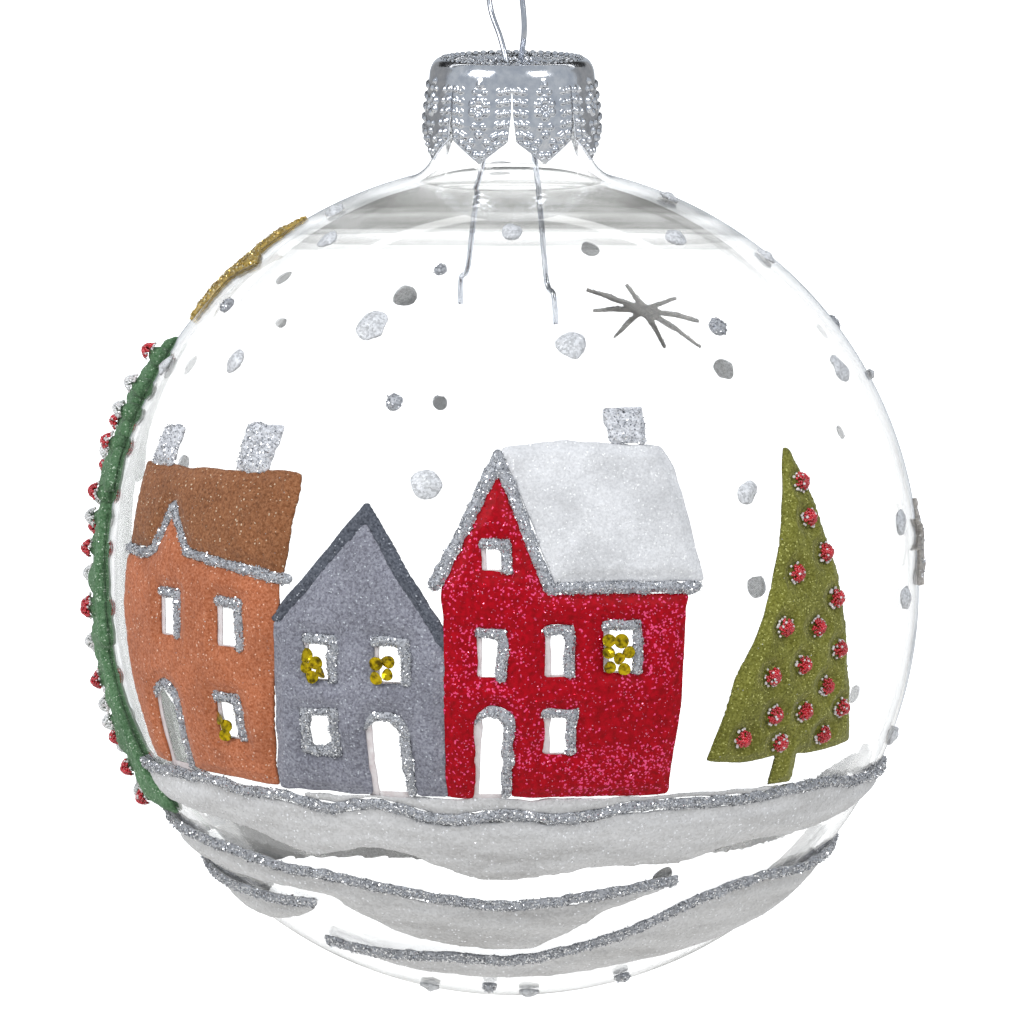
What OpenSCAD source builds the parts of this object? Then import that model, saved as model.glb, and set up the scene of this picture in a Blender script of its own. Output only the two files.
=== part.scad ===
// Hand-decorated glass ball ornament: a clear ball with a neck, a pressed crown cap, a sprung wire
// hanger, and a village of houses, trees and snow banks laid on the glass as thick grained paint.
//
// Lengths are in millimetres. Heights in the tables are counted from the centre of the ball's lower
// half. The whole ornament is then lowered so that the origin is where it hangs: on the ball's axis,
// level with the top of the inside of the wire loop. The village faces -Y.

/* [Ball] */
// Outer diameter of the glass ball
ball_d = 80; // [76:1:90]
// Height of the straight band at the ball's equator
band_h = 1.8; // [0.5:0.1:4]
// Thickness of the glass
glass_t = 0.9; // [0.6:0.1:1.5]
// Outer diameter of the neck
neck_d = 15.1; // [14.6:0.1:15.2]
// Radius of the flare between the neck and the ball
flare_r = 3.5; // [2:0.1:3.6]
// Height of the neck's rim
neck_top = 51.2; // [50:0.1:51.2]

/* [Cap] */
// Outer diameter of the cap at its top edge
cap_top_d = 15.9; // [15.8:0.1:16.4]
// Outer diameter of the cap at the widest part of its petals
cap_d = 17.2; // [17:0.1:18]
// Thickness of the cap's sheet metal
cap_t = 0.3; // [0.2:0.05:0.3]
// Height of the cap's top face
cap_top = 52.3; // [52.3:0.1:54]
// Length of the petals' pointed tips
petal_tip = 2.2; // [1:0.1:2.4]
// Number of petals
petals = 8; // [6:1:10]
// Diameter of the hole that the hanger passes through
cap_hole_d = 4.6; // [4.4:0.1:6]

/* [Hanger] */
// Diameter of the hanger's wire
wire_d = 0.56; // [0.4:0.02:0.8]
// Angle of the plane of the wire, from the X axis
wire_turn = 62; // [0:1:90]

/* [Paint] */
// Thickness of the houses' walls and roofs
wall_t = 0.7; // [0.4:0.1:1.2]
// Thickness of the snow banks
snow_t = 0.6; // [0.4:0.1:1.5]
// Thickness of the glitter lines and trims
trim_t = 0.7; // [0.5:0.1:1.5]
// Width of the glitter trims
trim_w = 0.85; // [0.7:0.05:1.2]
// Thickness of the small tree
small_tree_t = 1.0; // [0.5:0.1:1.5]
// Thickness of the tall tree
tall_tree_t = 1.7; // [1:0.1:2]
// How far a tree's beads stand proud of the tree
bead_proud = 0.8; // [0.3:0.1:1]
// Diameter of the sequins
sequin_d = 0.9; // [0.6:0.1:1]
// Gap left between neighbouring patches of paint
gap = 0.12; // [0.05:0.01:0.2]

/* [Hidden] */
$fn = 96;
R = ball_d / 2;
neck_r = neck_d / 2;
wire_r = wire_d / 2;
cap_r = cap_d / 2;
cap_top_r = cap_top_d / 2;
reach = R + 12;
below_skin = 1.5;
above_skin = 4;
curve_steps = 4;

// Centre of the flare's arc, which touches the neck and the ball's upper half
flare_x = neck_r + flare_r;
flare_z = band_h + sqrt(pow(R + flare_r, 2) - pow(flare_x, 2));
// Height where the ball's outer surface turns into the flare
neck_foot = band_h + (flare_z - band_h) * R / (R + flare_r);

// The hanger's route lies in one plane: [distance from the axis, height above the cap's top]
loop_route = [
    [1.4, -1.2], [1.8, 0], [2.45, 2.2], [2.5, 4], [2.1, 6], [1.7, 7.8], [0.6, 9.7], [-1.4, 10.5],
    [-3.4, 9.8], [-4.7, 8], [-4.9, 6], [-4.2, 4], [-2.5, 1.9], [-1.4, 0], [-1.1, -1.2],
];
front_leg_route = [
    [1.5, -1.9], [3.4, -5.5], [4.7, -10], [6, -15.5], [7.2, -21.4], [8.6, -22.6], [9.1, -25.4],
];
back_leg_route = [
    [-1.2, -1.9], [-4.6, -5.5], [-6, -10], [-7.8, -15.5], [-9.3, -21.4], [-10.7, -22.6], [-10.9, -25.2],
];
wire_sides = 10;
// Height of the origin: the top of the inside of the loop
hang_z = cap_top + 10.5 - wire_r;

// Houses are drawn flat, as [distance to the right, height], on planes that face these angles
orange_at = -44.6;
grey_at = -20.2;
red_at = 8;
small_tree_at = 43.5;
tall_tree_at = -96;

orange_wall = [
    [-15.6, 7.2], [-10.3, 7.2], [-8, 11], [-4.7, 7.2], [7.5, 7.2], [7.3, 0], [6, -9], [4.8, -15], [-14, -14.5], [-15.8, -7], [-16.9, 0.5],
];
orange_roof = [
    [-15.7, 6.4], [-10.3, 6.9], [-8, 11.1], [-4.7, 7.1], [7.9, 6], [8.3, 13.8], [8.1, 15.4], [0, 15],
    [-9, 14.6], [-14.9, 14.3],
];
orange_eave = [[-16, 6], [-12, 5.9], [-10.4, 6.7], [-8, 11], [-4.9, 6.9], [0, 6.3], [8.3, 5.4]];
orange_chimneys = [
    [[-12.9, 18], [-9.4, 18.3], [-9.8, 14.7], [-13.5, 14.5]],
    [[0.4, 19.6], [4.5, 19.5], [4.1, 15.3], [0.4, 15.2]],
];
// Openings are [left, bottom, right, top]
orange_windows = [[-9.2, -1.7, -6.5, 2.2], [-0.3, -1.9, 2.4, 2.2], [-1.2, -11, 1.6, -7.2]];
orange_door = [-11.2, -14.7, -7.4, -6.9];
orange_sequins = [[-0.4, -8.7], [0.4, -9.5], [0.1, -10.4]];

grey_wall = [[-9.9, 1.6], [-0.6, 12.1], [8, -0.8], [7.3, -8], [6.9, -15.2], [-10.6, -15.2], [-9.9, -7]];
grey_roof = [[-10.4, 1.4], [-0.5, 13], [3.4, 7.5], [8.8, -0.8]];
grey_windows = [[-6.8, -4.3, -4, -0.5], [0.5, -4.2, 3.5, -0.5]];
grey_low_window = [-6.4, -10.7, -4.2, -7.5];
grey_door = [-0.6, -15.2, 3.1, -7.7];
grey_sequins = [
    [-6.1, -1.7], [-6.2, -2.8], [-5.1, -2.4], [-5.6, -3.7], [-4.6, -3.3],
    [1.1, -2.1], [2.3, -1.9], [2.2, -3.1], [1.1, -3.5],
];

red_wall = [
    [-12, 6], [-6.9, 16.4], [-2.4, 5.2], [12, 5.2], [11.2, 3], [10.9, -6.5], [10, -15.2], [-11.2, -15.2],
    [-11.9, -6],
];
red_gable = [[-12.8, 5.6], [-6.5, 17.6], [-2.1, 5.3]];
red_eave = [[-2.1, 5.3], [5, 5.3], [12.4, 4.9]];
red_roof = [
    [-6, 18.4], [0, 19], [9.3, 18.2], [10.5, 16.2], [11.8, 11], [13.2, 5.7], [-1.5, 5.9],
];
red_chimney = [[4, 21.8], [7.7, 21.9], [8, 18.6], [4.4, 18.8]];
red_windows = [
    [-9.1, -3.5, -7, 0.6], [-2.6, -3.3, -0.5, 0.9], [3, -3.1, 6.1, 1.2], [-2.6, -11, -0.2, -7.3],
    [-8.6, 6.8, -6.5, 9.1],
];
red_door = [-9, -15.2, -6.2, -7];
red_sequins = [
    [3.6, 0.3], [4.8, 0.2], [3.6, -0.9], [5.5, -0.9], [4.6, -1.5], [3.7, -2.3], [5.1, -2.5],
];

// Snow banks are drawn on planes that face straight ahead and straight behind. Those in front wrap
// this far past the ball's sides, and the one behind starts there.
bank_wrap = 6;
village_line = [
    [-36.5, -16.2], [-30, -15.5], [-26, -16.1], [-22, -16.2], [-17.8, -17.1], [-13, -16.3], [-6.7, -17.7],
    [0, -17.1], [5, -17.6], [12.5, -16.5], [22.5, -16.6], [29.5, -16.1], [33, -16.8], [37.5, -17.6],
];
village_crest = [
    [-37, -16.2], [-30, -15.5], [-22, -15.9], [-12, -15.5], [0, -15.5], [14, -15.6], [26, -15.6],
    [31, -16.2], [38, -17.6],
];
village_foot = [
    [38, -18.6], [30, -21], [21.9, -21.5], [15.6, -23], [9, -22.8], [3, -23.6], [-2.5, -24.1],
    [-7.5, -22.5], [-12.8, -21], [-19.4, -22.2], [-26, -20.1], [-32.5, -19.4], [-37, -18.8],
];
middle_line = [
    [-34.5, -22.2], [-26.8, -23.2], [-22, -24.2], [-16.8, -24.6], [-7, -26.3], [-1, -27], [4.4, -26.5],
    [12, -25.4], [16, -24.8],
];
middle_foot = [
    [16, -25.3], [12.5, -26.6], [9, -27.9], [4.4, -30.8], [0, -32.2], [-9, -31], [-15.2, -28.4],
    [-18, -26.8], [-25.7, -26.2], [-34.5, -25],
];
lower_line = [
    [-18, -32.6], [-12.8, -33.3], [-6.2, -33.2], [0, -33.5], [6, -32.2], [12, -30.2], [18, -27.4],
    [24, -25.7], [28, -25.9], [33.5, -25],
];
lower_foot = [
    [33.5, -26.5], [29.3, -28.4], [27, -30.1], [19.5, -33.2], [10.5, -34.7], [1.4, -35.8], [-9, -35.3],
    [-14, -33.9], [-18, -33.2],
];
left_line = [[-34, -25.7], [-29.4, -27.5], [-24.6, -28.1], [-21.5, -28.1], [-19, -27.9]];
left_foot = [[-19, -28.6], [-22, -30.7], [-25.6, -31.5], [-30, -30], [-34, -28]];
back_line = [
    [-37, -17.4], [-33, -20.6], [-28, -24.6], [-20, -27], [-10, -28], [0, -27.6], [10, -28.2],
    [20, -27], [28, -25.4], [31, -25], [34, -26],
];
back_foot = [
    [34, -28.8], [29.5, -29], [26.5, -29.4], [16, -30.6], [4, -31.6], [-8, -31.4], [-18, -30.4],
    [-26, -28], [-31, -24.8], [-34, -22], [-37, -19],
];

small_tree_left = [[-9.3, -12.2], [-7.4, -4.5], [-5, 0], [-3.2, 5.2], [-2, 8.3], [-0.8, 12.7], [0.9, 17.3]];
small_tree_right = [[0.9, 17.3], [2.6, 13.4], [3.9, 8.9], [5.4, 4.4], [6.6, -2], [8, -7.8], [9.3, -12.1]];
small_tree_skirt = [[9.3, -12.1], [5, -12.6], [0, -12.3], [-5, -12.7], [-9.3, -12.2]];
trunk_half = 1.2;
small_trunk_foot = -15.4;
// Beads are [angle round the ball, height]
small_tree_beads = [
    [45.5, 13.8], [45.7, 10.4], [48.1, 7], [42.3, 5.4], [49.9, 2.6], [40.1, 0.4], [46.1, 0], [50.7, -2.4],
    [43.5, -3.4], [38.1, -4.2], [48.5, -5.8], [39.1, -8], [44.7, -8], [52.7, -8.2], [34.1, -10], [40.9, -10.8],
    [49.5, -10.6],
];
bead_r = 0.85;

// Half of the tall tree's outline, one list for each tier from the top down
tall_tree_tiers = [
    [[0.3, 24.6], [1.6, 20.5], [4, 15], [7, 10.4], [4.8, 10]],
    [[2.6, 13], [4.6, 6], [6.8, 0], [9, -4.6], [7, -5.4]],
    [[4.6, -2], [8, -9], [11.2, -15], [14.4, -20.4], [9, -20.6]],
];
tall_trunk_foot = -25.4;
tall_tree_beads = [
    [-93.4, 22.4], [-91, 14], [-97, 15.4], [-91.4, 9.2], [-99.5, 11], [-91.2, 3.8], [-98.6, 5.2],
    [-91, -1.6], [-87.8, -1.8], [-100.4, -3.2], [-88, -8.6], [-95.4, -8.8], [-90.6, -14.2],
    [-99.6, -13.6], [-82.4, -16.4], [-82, -19.2], [-105.6, -18.6],
];
tall_tree_balls = [
    [-92.8, 19.4], [-92.2, 17], [-96.6, 12.6], [-93.4, 6.6], [-98.4, 8.2], [-94.8, 1], [-92, -5.2],
    [-98, -6.4], [-91.6, -11.2], [-99, -10.4], [-86.4, -12.4], [-95, -15.4], [-87.2, -16.8],
    [-103, -16.6], [-89.5, -19.2], [-97, -19],
];
star_at = [-96, 31.6];
star_r = 8.3;
star_waist = 0.42;

// Snowflakes are [angle round the ball, height]
back_flake_at = [156, 24.6];
right_flake_at = [91, 5.2];
// Their arms are [direction, length], thinner towards the tip
flake_arms = [
    [26, 6.3], [-1, 5.6], [-42, 5.6], [-106, 5.2], [-144, 7.2], [-174, 6.5], [154, 5], [76, 3.8],
];
flake_root_w = 0.9;
flake_tip_w = 0.45;
flake_hub_r = 1;

// Loose dots are [angle round the ball, height, radius]
snow_dot_list = [
    [-27, 28.8, 1.5], [10.4, 27.4, 1.4], [-12.4, 14.9, 1.4], [35.9, 13.4, 1.2], [-54.2, 24.6, 1.1],
    [-56, 35.6, 1.1], [0, 37, 1.1], [-174.5, 38.8, 1.2], [49.5, 35.9, 1.1], [80, 38.7, 1.0], [83, 33, 1.0],
    [68.9, 23, 1.3], [72.6, 8, 1.2], [72.3, 0.6, 1.1], [84, -14.2, 0.9], [-76, 37.6, 1.0], [-81, 22.6, 1.1],
    [91, 21, 0.6], [-160, 26.1, 1.2], [-126, 29.6, 0.9], [-135, 24.2, 0.6], [143.5, 18.6, 1.2],
    [118.8, 13.6, 0.6], [141, -4, 1.1], [-110.5, 21.2, 1.1], [-111, 6.5, 1.0], [163, 31.5, 0.9],
    [-121, 10, 1.0], [160, -6, 1.0], [-166, -8, 0.9], [-138, -9, 1.1], [112.9, -13, 1.0],
    [8, -38, 0.9], [-36, -37.6, 0.9], [140, -32, 1.0], [-140, -33, 1.0], [108, -31.5, 0.9],
];
silver_dot_list = [
    [41.2, 28.3, 0.9], [-16.5, 33.8, 0.6], [-19, 22.2, 0.8], [-69.7, 29, 0.7], [104, 25.2, 0.8],
    [40, -36.4, 0.8], [-8, -36.9, 0.7], [-168.9, 14, 0.7], [128, -12, 0.8], [-152, -3, 0.8],
    [174, -1, 0.9], [-176, -36, 0.8],
];

// A smooth curve through a list of points
function knot(route, i) = route[max(0, min(len(route) - 1, i))];
function blend(a, b, c, d, t) =
    b + (c - a) * t / 2 + (2 * a - 5 * b + 4 * c - d) * t * t / 2 + (3 * (b - c) - a + d) * t * t * t / 2;
function smooth(route) = [
    for (i = [0 : len(route) - 2], s = [0 : curve_steps - 1])
        blend(knot(route, i - 1), route[i], route[i + 1], knot(route, i + 2), s / curve_steps),
    route[len(route) - 1],
];
function backwards(route) = [for (i = [len(route) - 1 : -1 : 0]) route[i]];

// Height of the centre of the half of the ball that a point at height z lies on
function half_centre(z) = z > 0 ? band_h : 0;
function latitude(z) = asin((z - half_centre(z)) / R);

// Section of the ball and its neck, a given depth below the outer surface
module jar_section(depth, top) {
    touch_x = flare_x * (R - depth) / (R + flare_r);
    touch_z = band_h + (flare_z - band_h) * (R - depth) / (R + flare_r);
    intersection() {
        union() {
            circle(R - depth);
            translate([0, band_h]) circle(R - depth);
            square([R - depth, band_h]);
            square([neck_r - depth, top]);
            difference() {
                translate([0, touch_z - 1]) square([touch_x, flare_z - touch_z + 1]);
                translate([flare_x, flare_z]) circle(flare_r + depth);
            }
        }
        translate([0, -2 * R]) square([2 * R, 4 * R]);
    }
}

module paint_layer(thickness) {
    rotate_extrude() difference() {
        jar_section(-thickness, 0.1);
        jar_section(0, 0.1);
    }
}

// Pushes a flat shape out through the glass, towards an angle round the ball
module towards(angle, start = 0) {
    rotate([0, 0, angle]) rotate([90, 0, 0]) translate([0, 0, start]) linear_extrude(reach) children();
}

// The same, square to the surface at an angle and height
module square_on(angle, z) {
    translate([0, 0, half_centre(z)])
        rotate([0, 0, angle]) rotate([90 - latitude(z), 0, 0])
            translate([0, 0, R - below_skin]) linear_extrude(below_skin + above_skin) children();
}

module in_place() {
    translate([0, 0, -hang_z]) children();
}

// Paint of a given thickness in the shape of the first child, less the other children
module paint(thickness) {
    in_place() intersection() {
        paint_layer(thickness);
        difference() {
            children(0);
            if ($children > 1) children([1 : $children - 1]);
        }
    }
}

// The glass is one blown piece. It is made in three lengths, so that each has a simple contact shape.
module glass_length(low, high) {
    color("gainsboro", 0.35) in_place() rotate_extrude() intersection() {
        difference() {
            jar_section(0, neck_top);
            jar_section(glass_t, neck_top + 1);
        }
        translate([0, low]) square([2 * R, high - low]);
    }
}
module glass_ball() glass_length(-2 * R, band_h / 2);
module glass_shoulder() glass_length(band_h / 2, neck_foot);
module glass_neck() glass_length(neck_foot, neck_top);

module cap_section(inset) {
    edge_r = 0.9;
    widest_z = 46.2;
    tip_r = cap_r - 0.15;
    polygon([
        [0, 40],
        [tip_r - inset, 40],
        [tip_r - inset, 42.4],
        [cap_r - inset, widest_z],
        [cap_top_r + 0.15 - inset, cap_top - 2 * edge_r],
        for (a = [0 : 15 : 90])
            [cap_top_r - edge_r + (edge_r - inset) * cos(a), cap_top - edge_r + (edge_r - inset) * sin(a)],
        [0, cap_top - inset],
    ]);
}

module cap_shell() {
    slit_top = 49.6;
    tip_z = 42.4;
    shoulder_z = tip_z + petal_tip;
    half_petal = cap_r * tan(180 / petals);
    color("silver") in_place() difference() {
        rotate_extrude() difference() {
            cap_section(0);
            cap_section(cap_t);
        }
        translate([0, 0, cap_top - 2]) cylinder(d = cap_hole_d, h = 4);
        translate([0, 0, 39]) cylinder(r = 2 * cap_r, h = tip_z - 39);
        for (i = [0 : petals - 1])
            rotate([0, 0, i * 360 / petals]) rotate([90, 0, 0]) translate([0, 0, neck_r - 2])
                linear_extrude(cap_r) polygon([
                    [-0.08, slit_top], [0.08, slit_top], [0.24, shoulder_z], [half_petal, tip_z],
                    [half_petal, 39], [-half_petal, 39], [-half_petal, tip_z], [-0.24, shoulder_z],
                ]);
    }
}

// A round wire along a route that lies in the hanger's plane
module wire(route) {
    path = smooth(route);
    last = len(path) - 1;
    across = [cos(wire_turn), -sin(wire_turn), 0];
    normal = [sin(wire_turn), cos(wire_turn), 0];
    along = [for (i = [0 : last]) path[min(i + 1, last)] - path[max(i - 1, 0)]];
    rings = [
        for (i = [0 : last], k = [0 : wire_sides - 1])
            let (
                a = k * 360 / wire_sides,
                side = [along[i][1], -along[i][0]] / norm(along[i]),
                flat = path[i] + wire_r * cos(a) * side
            )
            across * flat[0] + [0, 0, cap_top + flat[1]] + normal * wire_r * sin(a),
    ];
    function at(i, k) = i * wire_sides + k % wire_sides;
    walls = [
        for (i = [0 : last - 1], k = [0 : wire_sides - 1]) each [
            [at(i, k), at(i, k + 1), at(i + 1, k + 1)],
            [at(i, k), at(i + 1, k + 1), at(i + 1, k)],
        ],
    ];
    ends = [for (k = [1 : wire_sides - 2]) each [
        [at(0, 0), at(0, k + 1), at(0, k)],
        [at(last, 0), at(last, k), at(last, k + 1)],
    ]];
    in_place() polyhedron(points = rings, faces = concat(walls, ends), convexity = 6);
}

module hanger_loop() { color("lightsteelblue") wire(loop_route); }
module hanger_leg_front() { color("lightsteelblue") wire(front_leg_route); }
module hanger_leg_back() { color("lightsteelblue") wire(back_leg_route); }

// An opening with an optional round arch
module opening(o, arched = false) {
    w = o[2] - o[0];
    if (arched) {
        translate([o[0], o[1]]) square([w, o[3] - o[1] - w / 2]);
        translate([o[0] + w / 2, o[3] - w / 2]) circle(w / 2);
    } else {
        translate([o[0], o[1]]) square([w, o[3] - o[1]]);
    }
}

// A trim along the top and the right side of an opening
module trim_of(o, arched = false) {
    difference() {
        opening([o[0], o[1], o[2] + trim_w, o[3] + trim_w], arched);
        opening(o, arched);
    }
}

module trim_all_round(o) {
    difference() {
        opening([o[0] - 0.9, o[1] - 0.9, o[2] + 0.9, o[3] + 0.5]);
        opening(o);
    }
}

// A band of a given width that follows a route from left to right
module band(route, width) {
    polygon(concat(
        [for (p = route) p + [0, width / 2]],
        [for (p = backwards(route)) p - [0, width / 2]]
    ));
}

// A band of a given width along a route, with round corners and ends
module stroke(route, width) {
    for (i = [0 : len(route) - 2]) hull() {
        translate(route[i]) circle(d = width, $fn = 16);
        translate(route[i + 1]) circle(d = width, $fn = 16);
    }
}

module openings(windows, door) {
    for (o = windows) opening(o);
    opening(door, true);
}

module trims(windows, door) {
    for (o = windows) trim_of(o);
    trim_of(door, true);
}

module dots(places, r) {
    for (p = places) translate(p) circle(r);
}

module orange_outline() {
    polygon(orange_wall);
    polygon(orange_roof);
    stroke(orange_eave, trim_w);
    for (c = orange_chimneys) polygon(c);
}

module grey_outline() {
    polygon(grey_wall);
    polygon(grey_roof);
}

module red_outline() {
    polygon(red_wall);
    stroke(red_gable, trim_w * 1.2);
    stroke(red_eave, trim_w * 1.2);
    polygon(red_roof);
    polygon(red_chimney);
}

// The grey house stands in front of the orange one, and the red house in front of the grey one
module grey_footprint() { towards(grey_at) offset(delta = gap) grey_outline(); }
module red_footprint() { towards(red_at) offset(delta = gap) red_outline(); }

module orange_house_wall() {
    color("sienna") paint(wall_t) {
        towards(orange_at) difference() {
            polygon(orange_wall);
            openings(orange_windows, orange_door);
            offset(delta = gap) {
                trims(orange_windows, orange_door);
                stroke(orange_eave, trim_w);
                polygon(orange_roof);
            }
        }
        grey_footprint();
    }
}

module orange_house_roof() {
    color("saddlebrown") paint(wall_t) {
        towards(orange_at) difference() {
            polygon(orange_roof);
            offset(delta = gap) stroke(orange_eave, trim_w);
        }
        grey_footprint();
    }
}

module orange_house_chimneys() {
    color("silver") paint(trim_t) towards(orange_at) difference() {
        for (c = orange_chimneys) polygon(c);
        offset(delta = gap) polygon(orange_roof);
    }
}

module orange_house_trim() {
    color("silver") paint(trim_t) {
        towards(orange_at) {
            stroke(orange_eave, trim_w);
            trims(orange_windows, orange_door);
        }
        grey_footprint();
    }
}

module orange_house_sequins() {
    color("gold") paint(wall_t) towards(orange_at) dots(orange_sequins, sequin_d / 2);
}

module grey_trims() {
    trims(grey_windows, grey_door);
    trim_all_round(grey_low_window);
}

module grey_house_wall() {
    color("slategray") paint(wall_t) {
        towards(grey_at) difference() {
            polygon(grey_wall);
            openings(grey_windows, grey_door);
            opening(grey_low_window);
            offset(delta = gap) grey_roof_bands();
            offset(delta = gap) grey_trims();
        }
        red_footprint();
    }
}

module grey_roof_bands() {
    difference() {
        polygon(grey_roof);
        translate([0, -1.7]) polygon([grey_roof[0] - [3, 3], grey_roof[1], grey_roof[3] + [1.2, -1.7]]);
    }
}

module grey_house_roof() {
    color("dimgray") paint(trim_t) {
        towards(grey_at) grey_roof_bands();
        red_footprint();
    }
}

module grey_house_trim() {
    color("silver") paint(trim_t) towards(grey_at) grey_trims();
}

module grey_house_sequins() {
    color("gold") paint(wall_t) towards(grey_at) dots(grey_sequins, sequin_d / 2);
}

module red_bands() {
    stroke(red_gable, trim_w * 1.2);
    stroke(red_eave, trim_w * 1.2);
}

module red_house_wall() {
    color("crimson") paint(wall_t) towards(red_at) difference() {
        polygon(red_wall);
        openings(red_windows, red_door);
        offset(delta = gap) trims(red_windows, red_door);
        offset(delta = gap) red_bands();
    }
}

module red_house_roof() {
    color("white") paint(wall_t) towards(red_at) difference() {
        polygon(red_roof);
        offset(delta = gap) {
            red_bands();
            polygon(red_wall);
        }
    }
}

module red_house_chimney() {
    color("silver") paint(trim_t) towards(red_at) difference() {
        polygon(red_chimney);
        offset(delta = gap) polygon(red_roof);
    }
}

module red_house_trim() {
    color("silver") paint(trim_t) towards(red_at) {
        red_bands();
        trims(red_windows, red_door);
    }
}

module red_house_sequins() {
    color("gold") paint(wall_t) towards(red_at) dots(red_sequins, sequin_d / 2);
}

// A snow bank between two routes, less the glitter line along its top
module bank(top, foot, line) {
    difference() {
        polygon(concat(smooth(top), smooth(foot)));
        offset(delta = gap) glitter_line(line);
    }
}

module glitter_line(route) { band(smooth(route), trim_w); }

module tall_footprint() { towards(tall_tree_at) offset(delta = gap) tall_tree_outline(); }

module snow(top, foot, line, facing = 0, start = -bank_wrap) {
    color("white") paint(snow_t) {
        towards(facing, start) bank(top, foot, line);
        tall_footprint();
    }
}

module glitter(line, facing = 0, start = -bank_wrap) {
    color("silver") paint(trim_t) {
        towards(facing, start) glitter_line(line);
        tall_footprint();
    }
}

module village_snow() { snow(village_crest, village_foot, village_line); }
module village_glitter() { glitter(village_line); }
module middle_snow() { snow(middle_line, middle_foot, middle_line); }
module middle_glitter() { glitter(middle_line); }
module lower_snow() { snow(lower_line, lower_foot, lower_line); }
module lower_glitter() { glitter(lower_line); }
module left_snow() { snow(left_line, left_foot, left_line); }
module left_glitter() { glitter(left_line); }
module back_snow() { snow(back_line, back_foot, back_line, 180, bank_wrap + gap); }
module back_glitter() { glitter(back_line, 180, bank_wrap + gap); }

module small_tree_outline() {
    polygon(concat(smooth(small_tree_left), smooth(small_tree_right), smooth(small_tree_skirt)));
    translate([0.1 - trunk_half, small_trunk_foot]) square([2 * trunk_half, 4]);
}

module beads(places, thickness, r) {
    in_place() intersection() {
        paint_layer(thickness);
        for (p = places) square_on(p[0], p[1]) circle(r);
    }
}

module bead_holes(places, r) {
    for (p = places) square_on(p[0], p[1]) circle(r + gap);
}

module small_tree() {
    color("darkolivegreen") paint(small_tree_t) {
        towards(small_tree_at) small_tree_outline();
        bead_holes(small_tree_beads, bead_r);
    }
}

module small_tree_beads() { color("firebrick") beads(small_tree_beads, small_tree_t + bead_proud, bead_r); }

module tall_tree_outline() {
    for (side = [0, 1]) mirror([side, 0]) {
        for (tier = tall_tree_tiers) polygon(concat([[0, tier[0][1]]], smooth(tier), [[0, tier[4][1]]]));
        translate([0, tall_trunk_foot]) square([trunk_half, 8]);
    }
}

module tall_tree() {
    color("seagreen") paint(tall_tree_t) {
        towards(tall_tree_at) tall_tree_outline();
        bead_holes(tall_tree_beads, bead_r);
        bead_holes(tall_tree_balls, bead_r);
    }
}

module tall_tree_beads() { color("firebrick") beads(tall_tree_beads, tall_tree_t + bead_proud, bead_r); }

module tall_tree_snowballs() { color("white") beads(tall_tree_balls, tall_tree_t + bead_proud, bead_r); }

module tall_tree_star() {
    color("gold") in_place() intersection() {
        paint_layer(trim_t);
        square_on(star_at[0], star_at[1]) polygon([
            for (i = [0 : 9])
                (i % 2 == 0 ? star_r : star_r * star_waist) * [sin(i * 36), cos(i * 36)],
        ]);
    }
}

module snowflake(at) {
    color("whitesmoke") in_place() intersection() {
        paint_layer(trim_t);
        square_on(at[0], at[1]) {
            circle(flake_hub_r);
            for (arm = flake_arms) rotate([0, 0, arm[0]]) polygon([
                [0, -flake_root_w / 2], [arm[1], -flake_tip_w / 2],
                [arm[1], flake_tip_w / 2], [0, flake_root_w / 2],
            ]);
        }
    }
}

module back_snowflake() { snowflake(back_flake_at); }
module right_snowflake() { snowflake(right_flake_at); }

module loose_dots(list) {
    in_place() intersection() {
        paint_layer(wall_t);
        for (d = list) square_on(d[0], d[1]) circle(d[2]);
    }
}

module snow_dots() { color("white") loose_dots(snow_dot_list); }
module silver_dots() { color("silver") loose_dots(silver_dot_list); }

glass_ball();
glass_shoulder();
glass_neck();
cap_shell();
hanger_loop();
hanger_leg_front();
hanger_leg_back();
orange_house_wall();
orange_house_roof();
orange_house_chimneys();
orange_house_trim();
orange_house_sequins();
grey_house_wall();
grey_house_roof();
grey_house_trim();
grey_house_sequins();
red_house_wall();
red_house_roof();
red_house_chimney();
red_house_trim();
red_house_sequins();
village_snow();
village_glitter();
middle_snow();
middle_glitter();
lower_snow();
lower_glitter();
left_snow();
left_glitter();
back_snow();
back_glitter();
small_tree();
small_tree_beads();
tall_tree();
tall_tree_beads();
tall_tree_snowballs();
tall_tree_star();
back_snowflake();
right_snowflake();
snow_dots();
silver_dots();
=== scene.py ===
"""Looks of a hand-decorated glass ball ornament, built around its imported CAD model.

Lengths inside the functions are millimetres, in the ball's own frame: the same axes as the row frame,
with zero at the centre of the ball's lower half. Meshes are written out in metres in the row frame.
"""

import math

import bmesh
import bpy
import numpy as np
from mathutils import Matrix, Vector
from mathutils.kdtree import KDTree


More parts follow.
